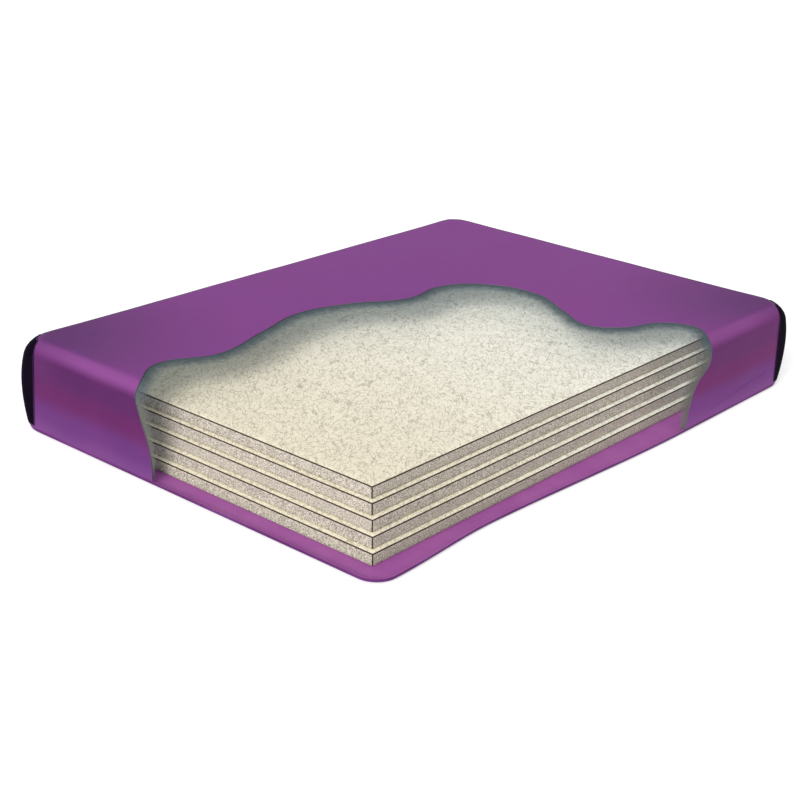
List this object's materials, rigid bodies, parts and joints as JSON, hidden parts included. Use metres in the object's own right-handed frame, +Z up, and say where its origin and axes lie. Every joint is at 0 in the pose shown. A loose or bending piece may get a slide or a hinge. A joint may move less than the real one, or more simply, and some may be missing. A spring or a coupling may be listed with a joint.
{
  "type": "cutaway fibre waterbed mattress",
  "caption": "Box-shaped vinyl waterbed mattress cover with one corner cut open to show its stacked fibre layers, corner patches and a flush fill valve.",
  "frame": {"origin": "middle of the underside, on the floor", "axes": "+X across the width towards the side whose wall is cut, +Y along the length towards the valve end, +Z up; the cut corner is at +X, -Y"},
  "size_m": [1.5276, 2.1376, 0.3],
  "materials": {
    "cover_vinyl": "satin purple flexible vinyl",
    "bottom_vinyl": "satin light purple flexible vinyl",
    "corner_patch": "satin near-black vinyl",
    "fibre": "matte cream bonded polyester fibre",
    "valve_vinyl": "satin purple moulded vinyl",
    "valve_plug": "translucent white soft plastic",
    "cap_liner": "matte white foam rubber",
    "valve_cap": "satin dark moulded plastic"
  },
  "bodies": {
    "mattress": {"bottom_sheet": "bottom_vinyl", "bottom_weld_band": "bottom_vinyl", "top_sheet": "cover_vinyl", "front_end_wall": "cover_vinyl", "back_end_wall": "cover_vinyl", "left_side_wall": "cover_vinyl", "right_side_wall": "cover_vinyl", "left_corner_patch": "corner_patch", "back_corner_patch": "corner_patch", "right_corner_patch": "corner_patch", "fibre_layer_1": "fibre", "fibre_layer_2": "fibre", "fibre_layer_3": "fibre", "fibre_layer_4": "fibre", "fibre_layer_5": "fibre", "valve_body": "valve_vinyl"},
    "plug": {"valve_plug": "valve_plug"},
    "liner": {"cap_liner": "cap_liner"},
    "cap": {"valve_cap": "valve_cap"}
  },
  "joints": [
    {"name": "cap_lift", "type": "slide", "parent": "mattress", "child": "liner", "axis": [0, 1, 0], "range_m": [0, 0.06]},
    {"name": "cap_turn", "type": "hinge", "parent": "liner", "child": "cap", "pos_m": [0, 1.067, 0.15], "axis": [0, 1, 0], "range_deg": [0, 720]},
    {"name": "plug_pull", "type": "slide", "parent": "mattress", "child": "plug", "axis": [0, 1, 0], "range_m": [0, 0.03]}
  ],
  "couplings": [
    {"joint": "plug_pull", "follows": "cap_lift", "ratio": 0.5}
  ]
}
